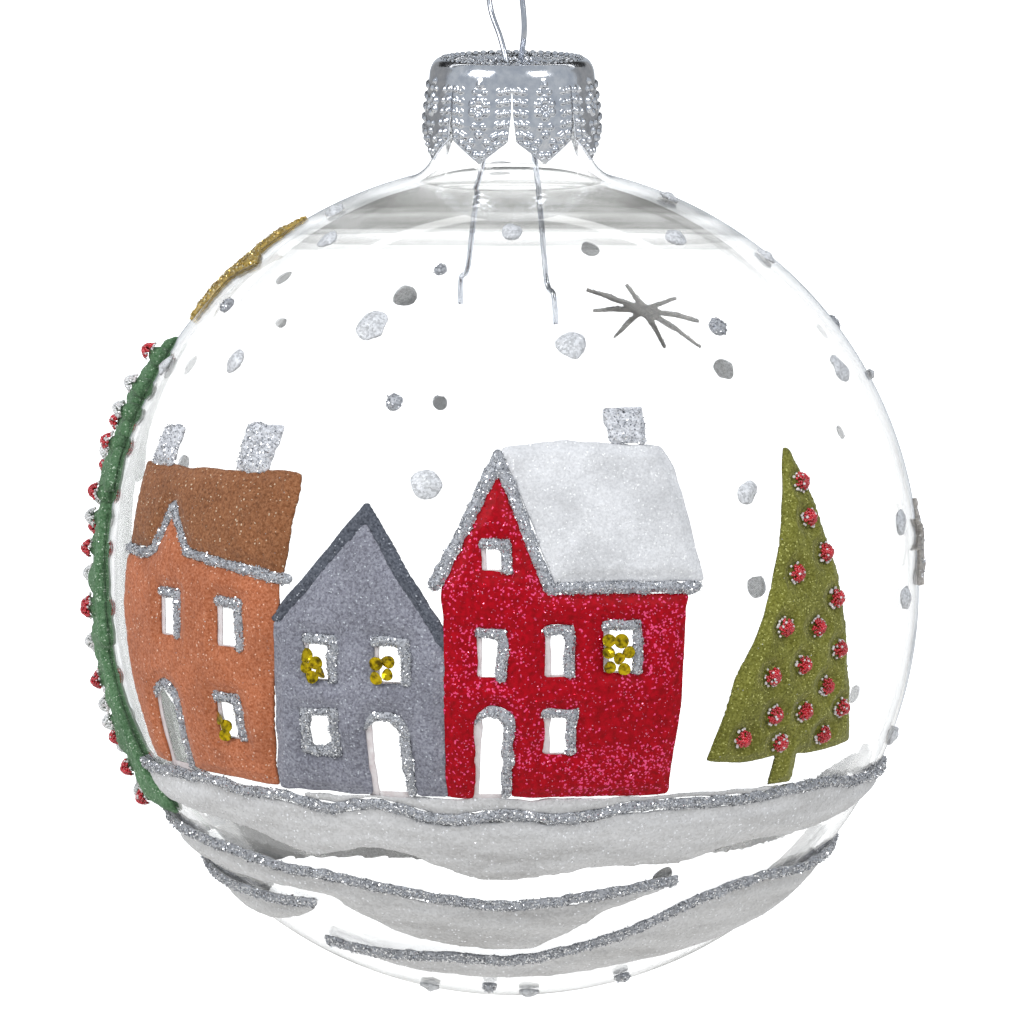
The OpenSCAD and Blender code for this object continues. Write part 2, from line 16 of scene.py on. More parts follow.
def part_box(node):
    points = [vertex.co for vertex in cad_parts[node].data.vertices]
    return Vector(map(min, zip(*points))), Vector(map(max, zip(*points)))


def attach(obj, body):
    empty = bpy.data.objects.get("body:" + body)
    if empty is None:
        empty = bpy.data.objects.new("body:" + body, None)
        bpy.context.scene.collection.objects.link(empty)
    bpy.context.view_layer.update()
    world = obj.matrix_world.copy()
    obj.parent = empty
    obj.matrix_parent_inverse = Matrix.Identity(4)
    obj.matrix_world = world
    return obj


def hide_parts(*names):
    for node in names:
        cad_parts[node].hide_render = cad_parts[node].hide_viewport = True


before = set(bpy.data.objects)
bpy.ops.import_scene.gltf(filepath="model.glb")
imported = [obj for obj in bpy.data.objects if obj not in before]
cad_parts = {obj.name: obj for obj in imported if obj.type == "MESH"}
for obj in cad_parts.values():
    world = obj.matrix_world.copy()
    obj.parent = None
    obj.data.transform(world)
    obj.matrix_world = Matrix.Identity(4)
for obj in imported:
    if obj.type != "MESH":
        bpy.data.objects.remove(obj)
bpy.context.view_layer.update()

MM = 0.001
glass_low, glass_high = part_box("glass_ball")
BALL_R = glass_high.x / MM
CENTRE_Z = glass_low.z + glass_high.x
NECK_TOP = (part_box("glass_neck")[1].z - CENTRE_Z) / MM
# The ball is two halves with a straight band of this height between them
BAND_H = 1.8
GLASS_T = 0.9
NECK_R = 7.55
LIP_H = 0.3
# The hollow curve that leads from the ball up into the neck, and its centre
FLARE_R = 3.5
FLARE_X = NECK_R + FLARE_R
FLARE_Z = BAND_H + math.sqrt((BALL_R + FLARE_R) ** 2 - FLARE_X**2)
# The paint's inner face is this far off the glass, too little to see
FILM = 0.012
# The way each house's glue film is laid, in degrees round the ball from the front
HOUSE_FACES = {"orange": -46, "grey": -21, "red": 8}
UP = np.array([0, 0, 1.0])


# ---- numbers and meshes

def lattice(cells, seed):
    """A repeatable random number from 0 to 1 for each whole-numbered cell."""
    n = cells[:, 0] * 73856093 ^ cells[:, 1] * 19349663 ^ cells[:, 2] * 83492791 ^ seed * 2654435
    n = (n ^ (n >> 13)) * 1274126177 & 0x7FFFFFFF
    return ((n ^ (n >> 16)) % 65536) / 65535.0


def noise(points, size, seed=0, stretch=(1, 1, 1)):
    """Smooth noise from -1 to 1 with bumps about size apart, drawn out along an axis by stretch."""
    place = points / (size * np.array(stretch, float))
    cell = np.floor(place).astype(np.int64)
    part = place - cell
    part = part * part * (3 - 2 * part)
    total = np.zeros(len(points))
    for corner in np.ndindex(2, 2, 2):
        step = np.array(corner)
        total += np.prod(np.where(step, part, 1 - part), axis=1) * lattice(cell + step, seed)
    return total * 2 - 1


def skin(points):
    """Height of each point above the glass, and the direction straight out of the glass there."""
    out = points.copy()
    out[:, 2] -= np.clip(points[:, 2], 0, BAND_H)
    far = np.linalg.norm(out, axis=1)
    return far - BALL_R, out / far[:, None]


def on_skin(points, height):
    """The same points moved straight in or out to a height above the glass."""
    depth, out = skin(points)
    return points + out * (height - depth)[:, None]


def mesh_of(name, points, groups):
    """A smooth mesh in metres from points in millimetres. Each group is (faces, material number)."""
    mesh = bpy.data.meshes.new(name)
    sizes = [np.full(len(faces), faces.shape[1]) for faces, _ in groups if len(faces)]
    loops = np.concatenate([faces.ravel() for faces, _ in groups if len(faces)])
    counts = np.concatenate(sizes)
    numbers = np.concatenate([np.full(len(faces), number) for faces, number in groups if len(faces)])
    mesh.vertices.add(len(points))
    places = points * MM + UP * CENTRE_Z
    mesh.vertices.foreach_set("co", places.astype(np.float32).ravel())
    mesh.loops.add(len(loops))
    mesh.loops.foreach_set("vertex_index", loops.astype(np.int32))
    mesh.polygons.add(len(counts))
    starts = np.concatenate([[0], np.cumsum(counts)[:-1]])
    mesh.polygons.foreach_set("loop_start", starts.astype(np.int32))
    mesh.polygons.foreach_set("material_index", numbers.astype(np.int32))
    mesh.polygons.foreach_set("use_smooth", np.full(len(counts), True))
    mesh.update(calc_edges=True)
    mesh.validate()
    return mesh


def placed(name, data):
    """A new object in the scene."""
    made = bpy.data.objects.new(name, data)
    bpy.context.scene.collection.objects.link(made)
    return made


def piece(name, mesh, materials, body, nodes):
    """Puts a finished mesh in the scene as a piece that rides on a body and stands for CAD nodes."""
    obj = placed(name, mesh)
    for material in materials:
        mesh.materials.append(material)
    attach(obj, body)
    if nodes:
        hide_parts(*nodes)


def fetched(items, name, width, kind):
    """One property of a mesh's parts, as an array with a row for each part."""
    values = np.zeros(len(items) * width, kind)
    items.foreach_get(name, values)
    return values.reshape(-1, width)


def node_points(node):
    """A CAD node's points in ball millimetres, with its edges."""
    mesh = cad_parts[node].data
    points = fetched(mesh.vertices, "co", 3, np.float32).astype(float)
    return (points - [0, 0, CENTRE_Z]) / MM, fetched(mesh.edges, "vertices", 2, np.int32)


def islands(node):
    """The points of each separate solid in a CAD node, in a fixed order."""
    points, edges = node_points(node)
    places, same = np.unique(np.round(points / 0.02).astype(int), axis=0, return_inverse=True)
    same = same.ravel()
    root = list(range(len(places)))

    def find(i):
        while root[i] != i:
            root[i] = root[root[i]]
            i = root[i]
        return i

    for a, b in same[edges]:
        root[find(a)] = find(b)
    label = np.array([find(i) for i in same])
    found = [points[label == one] for one in np.unique(label)]
    return sorted(found, key=lambda p: tuple(np.round(p.mean(axis=0), 2)))


def remeshed(node, voxel):
    """A CAD node's surface as an even quad mesh: (points, normals, quads, edges) in ball millimetres."""
    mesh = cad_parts[node].data.copy()
    mesh.transform(Matrix.Scale(1 / MM, 4) @ Matrix.Translation((0, 0, -CENTRE_Z)))
    rough = placed("rough", mesh)
    even = rough.modifiers.new("even", "REMESH")
    even.mode = "VOXEL"
    even.voxel_size = voxel
    made = bpy.data.meshes.new_from_object(rough.evaluated_get(bpy.context.evaluated_depsgraph_get()))
    bpy.data.objects.remove(rough)
    points = fetched(made.vertices, "co", 3, np.float32).astype(float)
    normals = fetched(made.vertex_normals, "vector", 3, np.float32).astype(float)
    edges = fetched(made.edges, "vertices", 2, np.int32)
    quads = fetched(made.loops, "vertex_index", 1, np.int32).reshape(-1, 4)
    bpy.data.meshes.remove(made)
    return points, normals, quads, edges


def relaxed(points, edges, steps):
    """The points drawn towards the mean of their neighbours, which rounds the paint's edges."""
    count = np.bincount(edges.ravel(), minlength=len(points))[:, None]
    for _ in range(steps):
        total = np.column_stack([
            np.bincount(edges[:, 0], points[edges[:, 1], axis], len(points))
            + np.bincount(edges[:, 1], points[edges[:, 0], axis], len(points))
            for axis in range(3)
        ])
        points = points + (total / np.maximum(count, 1) - points) * 0.6
    return points


def scattered(points, quads, per_mm2, random):
    """Random places on the upper part of a patch: (places, the ways the paint faces there)."""
    a, b, c, d = (points[quads[:, i]] for i in range(4))
    cross = np.cross(c - a, d - b) / 2
    area = np.linalg.norm(cross, axis=1)
    centre = (a + b + c + d) / 4
    depth, out = skin(centre)
    area = np.where(depth > depth.max() * 0.3, area, 0)
    wanted = int(area.sum() * per_mm2)
    chosen = random.choice(len(quads), wanted, p=area / area.sum())
    across = random.random((wanted, 1))
    along = random.random((wanted, 1))
    low = a[chosen] * (1 - across) + b[chosen] * across
    high = d[chosen] * (1 - across) + c[chosen] * across
    facing = cross[chosen] / np.maximum(area[chosen], 1e-9)[:, None]
    facing = np.where((facing * out[chosen]).sum(axis=1)[:, None] < 0, -facing, facing)
    return low * (1 - along) + high * along, facing


def hexagons(places, facing, radius, tilt, lift, random):
    """Thin six-sided flakes, each tilted at random: (points, faces)."""
    count = len(places)
    facing = facing + random.normal(0, tilt, (count, 3))
    facing /= np.linalg.norm(facing, axis=1)[:, None]
    side = np.cross(facing, random.normal(0, 1, (count, 3)))
    side /= np.linalg.norm(side, axis=1)[:, None]
    other = np.cross(facing, side)
    middle = places + facing * (lift * random.random((count, 1)) + lift * 0.3)
    size = radius * (0.65 + 0.7 * random.random((count, 1)))
    corners = [
        middle + size * (math.cos(turn) * side + math.sin(turn) * other)
        for turn in np.arange(6) * math.pi / 3
    ]
    points = np.stack(corners, axis=1).reshape(-1, 3)
    return points, np.arange(count * 6).reshape(-1, 6)


def ico_ball():
    """Points and faces of a small round ball of radius 1, for beads."""
    bpy.ops.mesh.primitive_ico_sphere_add(subdivisions=2, radius=1)
    made = bpy.context.object
    points = np.array([v.co for v in made.data.vertices])
    faces = np.array([p.vertices[:] for p in made.data.polygons])
    bpy.data.objects.remove(made)
    return points, faces


def square_to(direction):
    """Two directions at right angles to a direction and to each other."""
    side = np.cross(direction, UP)
    side /= np.linalg.norm(side)
    return side, np.cross(direction, side)


def tube_faces(rings, sides):
    """Faces of a tube of rings: (quads, end triangles onto the two points that follow the rings)."""
    ring = np.arange(sides)
    following = (ring + 1) % sides
    quads = np.concatenate([
        np.column_stack([ring, following, following + sides, ring + sides]) + sides * i
        for i in range(rings - 1)
    ])
    last = sides * (rings - 1)
    tip = sides * rings
    fans = np.concatenate([
        np.column_stack([following, ring, np.full(sides, tip)]),
        np.column_stack([ring + last, following + last, np.full(sides, tip + 1)]),
    ])
    return quads, fans


def grid_faces(rows, columns):
    """Faces of a sheet whose points are numbered along its rows: (quads, its edge's points in order)."""
    row, column = np.meshgrid(np.arange(rows - 1), np.arange(columns - 1), indexing="ij")
    first = (row * columns + column).ravel()
    quads = np.column_stack([first, first + 1, first + columns + 1, first + columns])
    edge = np.concatenate([
        np.arange(columns),
        np.arange(1, rows) * columns + columns - 1,
        (rows - 1) * columns + np.arange(columns - 2, -1, -1),
        np.arange(rows - 2, 0, -1) * columns,
    ])
    return quads, edge


def swept(route, radius, sides):
    """A round tube along a route with closed ends: (points, quads, end triangles)."""
    route = np.array(route, float)
    along = np.gradient(route, axis=0)
    along /= np.linalg.norm(along, axis=1)[:, None]
    first = np.cross(along[0], [0.3, 0.5, 0.8])
    frames = []
    for step in along:
        first = first - step * first.dot(step)
        first /= np.linalg.norm(first)
        frames.append((first, np.cross(step, first)))
    turns = np.arange(sides) * 2 * math.pi / sides
    rings = [
        centre + radius * (np.cos(turns)[:, None] * one + np.sin(turns)[:, None] * two)
        for centre, (one, two) in zip(route, frames)
    ]
    return np.concatenate(rings + [route[:1], route[-1:]]), *tube_faces(len(route), sides)


def smooth_route(route, steps):
    """A smooth curve through a list of points."""
    route = np.array(route, float)
    knots = np.vstack([route[:1], route, route[-1:]])
    made = []
    for i in range(1, len(route)):
        a, b, c, d = knots[i - 1 : i + 3]
        for t in np.arange(steps) / steps:
            made.append(
                b + (c - a) * t / 2 + (2 * a - 5 * b + 4 * c - d) * t**2 / 2
                + (3 * (b - c) - a + d) * t**3 / 2
            )
    return np.array(made + [route[-1]])


# ---- materials

def linear(red, green, blue):
    """A display colour, from 0 to 255, as the linear colour that shaders take."""
    tone = np.array([red, green, blue]) / 255
    tone = np.where(tone <= 0.04045, tone / 12.92, ((tone + 0.055) / 1.055) ** 2.4)
    return (*tone, 1)


def grey(tone):
    """A grey as a linear colour."""
    return tone, tone, tone, 1


BLACK, WHITE = grey(0), grey(1)


def new_material(name, roughness, metallic=0.0, **extra):
    """A material with a Principled shader, with more inputs set: (material, node tree, shader)."""
    material = bpy.data.materials.new(name)
    material.use_nodes = True
    shader = material.node_tree.nodes["Principled BSDF"]
    for label, value in {"Roughness": roughness, "Metallic": metallic, **extra}.items():
        shader.inputs[label].default_value = value
    return material, material.node_tree, shader


def add(tree, kind, links=None, **values):
    """Adds a node. values sets its inputs or settings, and links joins outputs to its inputs."""
    node = tree.nodes.new(kind)
    for name, value in values.items():
        label = name.replace("_", " ").title()
        if label in node.inputs:
            node.inputs[label].default_value = value
        else:
            setattr(node, name, value)
    for name, output in (links or {}).items():
        tree.links.new(output, node.inputs[name])
    return node


def coloured(tree, shader, colour):
    """Joins a colour to the shader."""
    tree.links.new(colour, shader.inputs["Base Color"])


def texture_place(tree, stretch=(1, 1, 1)):
    """Places on the object, in metres, drawn out along an axis by stretch."""
    place = add(tree, "ShaderNodeTexCoord").outputs["Object"]
    if stretch == (1, 1, 1):
        return place
    mapping = add(tree, "ShaderNodeMapping", {"Vector": place})
    mapping.inputs["Scale"].default_value = [1 / s for s in stretch]
    return mapping.outputs["Vector"]


def grains(tree, place, size, detail=2.0):
    """Noise from 0 to 1 with grains of a size in millimetres."""
    node = add(tree, "ShaderNodeTexNoise", {"Vector": place}, scale=1 / (size * MM), detail=detail)
    return node.outputs["Fac"]


def ramp(tree, factor, stops):
    """Colours along a factor: stops are (place from 0 to 1, colour)."""
    node = add(tree, "ShaderNodeValToRGB", {"Fac": factor})
    while len(node.color_ramp.elements) < len(stops):
        node.color_ramp.elements.new(0.5)
    for element, (place, colour) in zip(node.color_ramp.elements, stops):
        element.position = place
        element.color = colour
    return node.outputs["Color"]


def mixed(tree, factor, one, two, blend="MIX"):
    """Two colours mixed. Each may be a colour or an output, and so may the factor."""
    node = add(tree, "ShaderNodeMix", data_type="RGBA", blend_type=blend)
    for socket, value in ((node.inputs[0], factor), (node.inputs[6], one), (node.inputs[7], two)):
        if isinstance(value, bpy.types.NodeSocket):
            tree.links.new(value, socket)
        else:
            socket.default_value = value
    return node.outputs[2]


def cell_tone(tree, place, size):
    """One random tone from 0 to 1 for each cell of a size in millimetres."""
    cells = add(tree, "ShaderNodeTexVoronoi", {"Vector": place}, scale=1 / (size * MM))
    return add(tree, "ShaderNodeSeparateColor", {"Color": cells.outputs["Color"]}).outputs[0]


def bumped(tree, shader, height, strength, distance):
    """Joins a height to the shader's normal, with the depth in millimetres."""
    bump = add(tree, "ShaderNodeBump", {"Height": height}, strength=strength, distance=distance * MM)
    tree.links.new(bump.outputs["Normal"], shader.inputs["Normal"])


def worn(tree, shader, place, size, dull, bright):
    """Colours a shader in soft patches of two display colours."""
    tone = ramp(tree, grains(tree, place, size, 3.0), [(0.3, linear(*dull)), (0.7, linear(*bright))])
    coloured(tree, shader, tone)


def flock(name, dark, base, light, glint, glint_share=0.02, grain=0.17):
    """Fine grained paint: every grain has its own tone, with a few bright painted glints."""
    dark, base, light = (linear(*colour) for colour in (dark, base, light))
    material, tree, shader = new_material(name, 0.88, **{"Sheen Weight": 0.15, "Specular IOR Level": 0.25})
    place = texture_place(tree)
    tone = ramp(tree, cell_tone(tree, place, grain), [(0.0, dark), (0.45, base), (1.0, light)])
    soft = ramp(tree, grains(tree, place, grain * 1.6), [(0.3, dark), (0.5, base), (0.72, light)])
    broad = ramp(tree, grains(tree, place, 5.0), [(0.3, grey(0.84)), (0.7, grey(1.08))])
    body = mixed(tree, 1.0, mixed(tree, 0.5, tone, soft), broad, "MULTIPLY")
    # Painted glints: a small share of the grains take the bright glint colour
    painted_glints = ramp(tree, cell_tone(tree, place, grain * 0.8),
                  [(1 - glint_share - 0.01, BLACK), (1 - glint_share, WHITE)])
    coloured(tree, shader, mixed(tree, painted_glints, body, linear(*glint)))
    bumped(tree, shader, grains(tree, place, grain * 0.7, 3.0), 0.7, 0.09)
    return material


def red_lacquer():
    """Red paint with a great many small pink painted glints, closer together in some places."""
    material, tree, shader = new_material("red_sparkle_paint", 0.5, **{"Specular IOR Level": 0.12})
    place = texture_place(tree)
    deep, base, pink = linear(142, 0, 12), linear(180, 0, 24), linear(240, 80, 130)
    body = ramp(tree, grains(tree, place, 0.5, 3.0), [(0.3, deep), (0.65, base)])
    crowd = ramp(tree, grains(tree, place, 7.0, 1.0), [(0.45, grey(0.02)), (0.7, grey(0.2))])
    tone = cell_tone(tree, place, 0.17)
    # Painted glints: pink where a grain's tone falls under the crowding
    glint_mask = add(tree, "ShaderNodeMath", {0: tone, 1: crowd}, operation="LESS_THAN").outputs[0]
    coloured(tree, shader, mixed(tree, glint_mask, body, pink))
    bumped(tree, shader, grains(tree, place, 0.2, 2.0), 0.55, 0.06)
    return material


def snow_sugar():
    """Pearly grey-white paint of sugar grains, with soft streaks along the bank and a few painted glints.
    """
    material, tree, shader = new_material("snow_sugar_paint", 0.75, **{"Sheen Weight": 0.2})
    place = texture_place(tree)
    shade, base, light = linear(180, 178, 177), linear(209, 208, 208), linear(232, 231, 232)
    streak = ramp(tree, grains(tree, texture_place(tree, (6, 6, 1)), 1.6, 3.0),
                  [(0.32, shade), (0.5, base), (0.75, light)])
    tone = ramp(tree, cell_tone(tree, place, 0.22), [(0.0, shade), (0.5, base), (1.0, light)])
    body = mixed(tree, 0.4, streak, tone)
    # Painted glints: a few grains brightened to near white
    painted_glints = ramp(tree, cell_tone(tree, place, 0.16), [(0.975, BLACK), (0.985, WHITE)])
    coloured(tree, shader, mixed(tree, painted_glints, body, linear(252, 252, 255)))
    bumped(tree, shader, grains(tree, place, 0.17, 3.0), 0.6, 0.07)
    return material


def glue(name, colour):
    """The set glue that glitter lies in."""
    material, tree, shader = new_material(name, 0.3)
    place = texture_place(tree)
    dark = tuple(0.62 * part for part in colour[:3]) + (1,)
    coloured(tree, shader, ramp(tree, cell_tone(tree, place, 0.2), [(0.1, dark), (0.8, colour)]))
    bumped(tree, shader, grains(tree, place, 0.2), 0.6, 0.08)
    return material


def glitter(name, darkest, middle, brightest, metallic=0.9):
    """Metal flakes, each with its own tone from the darkest to the brightest: painted shade and painted
    glints for flakes turned away from or towards the light, on top of the light the tilted flakes really
    catch.
    """
    material, tree, shader = new_material(name, 0.22, metallic)
    tone = cell_tone(tree, texture_place(tree), 0.13)
    coloured(tree, shader, ramp(tree, tone, [(0.0, darkest), (0.45, middle), (0.8, brightest)]))
    return material


def bead_glass(name, colour, deep):
    """Tiny glossy beads, each a little darker or lighter."""
    material, tree, shader = new_material(name, 0.12, **{"Coat Weight": 0.8, "Coat Roughness": 0.05})
    tone = cell_tone(tree, texture_place(tree), 0.3)
    coloured(tree, shader, ramp(tree, tone, [(0.0, deep), (1.0, colour)]))
    return material


def clear_glass():
    """Thin clear glass with a smoky band of painted shade round its shoulder, split by a painted
    highlight, and grey where it is looked along.
    """
    material, tree, shader = new_material(
        "clear_glass_wall", 0.0, **{"Transmission Weight": 1.0, "IOR": 1.5})
    place = texture_place(tree)
    bumped(tree, shader, grains(tree, place, 9.0, 1.0), 0.25, 0.05)
    # The painted shade lies in a band of this height, whose lower edge leans back by seven degrees
    lean, rise = 0.127, 0.992
    low, band = CENTRE_Z * rise + 34.4 * MM, 5 * MM
    level = add(tree, "ShaderNodeVectorMath", {0: place}, operation="DOT_PRODUCT")
    level.inputs[1].default_value = (0, lean, rise)
    height = add(tree, "ShaderNodeMapRange", {"Value": level.outputs["Value"]})
    height.inputs["From Min"].default_value = low
    height.inputs["From Max"].default_value = low + band
    # A thin dark line, a pale band, a clear gap that paints a highlight, then smoky painted shade:
    # together they stand in for the shade and reflections in the thick glass of the shoulder
    clear, pale, painted_shade = (0.995, 0.995, 0.99, 1), (0.66, 0.66, 0.65, 1), (0.4, 0.4, 0.385, 1)
    film = ramp(tree, height.outputs["Result"], [
        (0.0, clear), (0.02, (0.42, 0.42, 0.41, 1)), (0.2, pale), (0.26, clear), (0.38, clear),
        (0.44, painted_shade), (0.7, painted_shade), (0.95, clear),
    ])
    # The painted shade is broken into streaks
    streaks = grains(tree, texture_place(tree, (5, 5, 1)), 1.6)
    patches = ramp(tree, streaks, [(0.35, BLACK), (0.6, WHITE)])
    coloured(tree, shader, mixed(tree, mixed(tree, 0.3, WHITE, patches), clear, film))
    depth = add(tree, "ShaderNodeVolumeAbsorption")
    depth.inputs["Color"].default_value = (0.5, 0.49, 0.47, 1)
    depth.inputs["Density"].default_value = 120.0
    tree.links.new(depth.outputs["Volume"], tree.nodes["Material Output"].inputs["Volume"])
    return material


def pressed_tin():
    """Bright pressed sheet, a little duller in soft random patches."""
    material, tree, shader = new_material("pressed_tin_sheet", 0.16, 1.0)
    place = texture_place(tree)
    worn(tree, shader, place, 0.9, (196, 200, 208), (226, 227, 230))
    rough = ramp(tree, grains(tree, place, 0.5, 3.0), [(0.3, grey(0.1)), (0.75, grey(0.24))])
    tree.links.new(rough, shader.inputs["Roughness"])
    bumped(tree, shader, grains(tree, place, 0.35, 2.0), 0.25, 0.03)
    return material


def spring_wire():
    """Bright drawn wire, with fine lines along it."""
    material, tree, shader = new_material("spring_wire_steel", 0.2, 1.0)
    place = texture_place(tree, (1, 1, 8))
    worn(tree, shader, place, 0.2, (170, 174, 184), (214, 217, 222))
    bumped(tree, shader, grains(tree, place, 0.12, 2.0), 0.2, 0.02)
    return material


def sequin_film(name, bright, deep):
    """Crumpled metallic film."""
    material, tree, shader = new_material(name, 0.2, 0.75)
    place = texture_place(tree)
    coloured(tree, shader, ramp(tree, grains(tree, place, 0.5, 2.0), [(0.35, deep), (0.6, bright)]))
    bumped(tree, shader, grains(tree, place, 0.4, 1.0), 0.4, 0.1)
    return material


def glue_film():
    """The thin pinkish-white film of glue that shows inside the windows."""
    material, tree, shader = new_material("glue_film_pale", 0.5, Alpha=0.8)
    worn(tree, shader, texture_place(tree), 0.9, (222, 208, 208), (246, 240, 240))
    return material


# Each glitter's tones run from painted shade to painted glints
SILVER_FLAKES = glitter("silver_flakes", linear(104, 106, 112), linear(216, 218, 224), WHITE)
SILVER_GLUE = glue("silver_glue", linear(184, 186, 192))
CLEAR_GLUE = glue("clear_glue", linear(230, 231, 236))
FLAKE_GLUE = glue("flake_glue", linear(196, 190, 184))
DOT_GLUE = glue("dot_glue", linear(226, 227, 230))
GOLD_GLUE = glue("gold_glue", linear(190, 160, 80))
SNOW = snow_sugar()
SPARKLES = glitter("snow_sparkles", linear(190, 190, 195), linear(240, 240, 244), WHITE, 0.6)
PINK_FLAKES = glitter("pink_flakes", linear(150, 0, 24), linear(215, 16, 60), linear(255, 150, 185), 0.7)
GOLD_FLAKES = glitter("gold_flakes", linear(140, 112, 36), linear(220, 190, 96), linear(255, 244, 205))

# Display colours of each grained paint: dark, middle and light grains, then the colour of its painted
# glints
RECIPES = {
    "orange_house_wall": flock(
        "terracotta_paint", (150, 78, 44), (185, 107, 69), (208, 136, 102), (240, 200, 176), 0.008),
    "orange_house_roof": flock(
        "brown_paint", (104, 62, 34), (142, 89, 54), (172, 120, 84), (220, 196, 168), 0.008),
    "grey_house_wall": flock(
        "grey_paint", (98, 98, 108), (136, 136, 148), (172, 174, 184), (200, 205, 212), 0.01),
    "grey_house_roof": flock(
        "dark_grey_paint", (54, 57, 66), (84, 88, 98), (118, 122, 132), (180, 184, 192), 0.01),
    "red_house_wall": red_lacquer(),
    "red_house_roof": flock(
        "white_paint", (205, 205, 207), (221, 221, 223), (238, 238, 240), (255, 255, 255)),
    "small_tree": flock(
        "olive_paint", (84, 84, 22), (120, 120, 44), (158, 158, 80), (200, 200, 120), 0.03, 0.15),
    "tall_tree": flock(
        "green_paint", (56, 92, 56), (86, 124, 86), (122, 156, 120), (190, 210, 185), 0.03, 0.15),
}


# ---- paint on the glass

def edge_distance(points, depth, top):
    """How far each point is from the side walls of its patch."""
    walls = points[(depth > 0.25 * top) & (depth < 0.75 * top)]
    tree = KDTree(len(walls))
    for i, place in enumerate(walls):
        tree.insert(place, i)
    tree.balance()
    return np.array([tree.find(place)[2] for place in points])


def patch(node, voxel, soften, swell, mound, wander, wander_size, grain, grain_size,
          ripple=0.0, ripple_size=3.0, stretch=(1, 1, 1), rise=1.0):
    """A patch of paint made from a CAD node: low at its edges, grained, with an uneven outline.

    swell is how far the outline grows, mound how far in the paint keeps rising, and wander how far the
    outline strays.
    """
    points, normals, quads, edges = remeshed(node, voxel)
    depth, out = skin(points)
    top = depth.max()
    inland = np.clip(edge_distance(points, depth, top) / mound, 0, 1)
    inland = inland * inland * (3 - 2 * inland)
    points = relaxed(points, edges, soften)
    stray = np.column_stack([noise(points, wander_size, seed) for seed in (11, 12, 13)]) * wander
    points = points + normals * swell + stray
    depth, out = skin(points)
    outer = np.clip(depth / top, 0, 1)
    rough = grain * noise(points, grain_size, 1) + 0.5 * grain * noise(points, grain_size * 0.5, 2)
    rough += ripple * noise(points, ripple_size, 3, stretch)
    height = rise * top * outer * (0.45 + 0.55 * inland) + rough * outer
    height = np.where(outer < 0.3, FILM, np.maximum(height, 3 * FILM))
    return points + out * (height - depth)[:, None], quads


def flakes_on(points, quads, seed, per_mm2, radius, tilt, lift, stray=0.0):
    """Flakes strewn over a patch, a few of them straying past its edge."""
    random = np.random.default_rng(seed)
    places, facing = scattered(points, quads, per_mm2, random)
    places = places + random.normal(0, 1, places.shape) * stray
    return hexagons(places, facing, radius, tilt, lift, random)


def nodes_ending(*ends):
    """The CAD nodes whose names end in one of some words."""
    return [node for node in sorted(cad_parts) if node.endswith(ends)]


def paint_piece(node, base, flakes, flake_material, seed, **shape):
    """One patch of paint with its flakes, as one piece on the ball."""
    points, quads = patch(node, **shape)
    flake_points, flake_faces = flakes_on(points, quads, seed, **flakes)
    groups = [(quads, 0), (flake_faces + len(points), 1)]
    name = node + "_paint"
    mesh = mesh_of(name, np.concatenate([points, flake_points]), groups)
    piece(name, mesh, [base, flake_material], "ball", [node])


def build_flocked():
    """The houses' walls and roofs, and the trees."""
    for seed, (node, material) in enumerate(RECIPES.items()):
        red = node == "red_house_wall"
        tall = node == "tall_tree"
        flakes = dict(per_mm2=3.0 if red else 0.12, radius=0.06 if red else 0.045, tilt=0.4, lift=0.03)
        paint_piece(
            node, material, flakes, PINK_FLAKES if red else SPARKLES, 100 + seed,
            voxel=0.3 if tall else 0.22, soften=3 if tall else 2, swell=0.17, mound=2.2 if tall else 1.3,
            wander=0.16, wander_size=2.2, grain=0.02 if red else 0.05, grain_size=0.4,
            ripple=0.05, ripple_size=4.0)


def build_silver():
    """Trims, chimneys and glitter lines."""
    for seed, node in enumerate(nodes_ending("_trim", "_chimney", "_chimneys", "_glitter")):
        chimney = "chimney" in node
        paint_piece(
            node, CLEAR_GLUE if chimney else SILVER_GLUE,
            dict(per_mm2=26.0 if chimney else 42.0, radius=0.085, tilt=0.6, lift=0.07, stray=0.06),
            SILVER_FLAKES, 200 + seed,
            voxel=0.18, soften=3, swell=0.12, mound=0.6, wander=0.2, wander_size=0.9,
            grain=0.07, grain_size=0.5)


def build_snow():
    """The snow banks."""
    for seed, node in enumerate(nodes_ending("_snow")):
        paint_piece(
            node, SNOW, dict(per_mm2=1.6, radius=0.05, tilt=0.5, lift=0.03), SPARKLES, 300 + seed,
            voxel=0.26, soften=3, swell=0.08, mound=1.6, wander=0.2, wander_size=1.8,
            grain=0.04, grain_size=0.45, ripple=0.1, ripple_size=1.4, stretch=(5, 5, 1))


def build_flakes_and_dots():
    """Snowflakes, star and loose dots."""
    white = dict(per_mm2=12.0, radius=0.08, tilt=0.5, lift=0.05, stray=0.03)
    silver = dict(per_mm2=36.0, radius=0.085, tilt=0.6, lift=0.07, stray=0.05)
    thin, round_dot, star = dict(swell=-0.1), dict(soften=4, mound=0.9, wander=0.34), dict(rise=0.7)
    usual = dict(
        voxel=0.17, soften=2, swell=0.06, mound=0.5, wander=0.12, wander_size=1.3,
        grain=0.05, grain_size=0.5, ripple=0.1, ripple_size=1.1)
    for seed, (node, base, flakes, material, special) in enumerate([
        ("back_snowflake", FLAKE_GLUE, white, SILVER_FLAKES, thin),
        ("right_snowflake", FLAKE_GLUE, white, SILVER_FLAKES, thin),
        ("snow_dots", DOT_GLUE, dict(white, per_mm2=0.6, radius=0.05), SPARKLES, round_dot),
        ("silver_dots", SILVER_GLUE, silver, SILVER_FLAKES, {}),
        ("tall_tree_star", GOLD_GLUE, dict(silver, per_mm2=26.0), GOLD_FLAKES, star),
    ]):
        paint_piece(node, base, flakes, material, 400 + seed, **{**usual, **special})


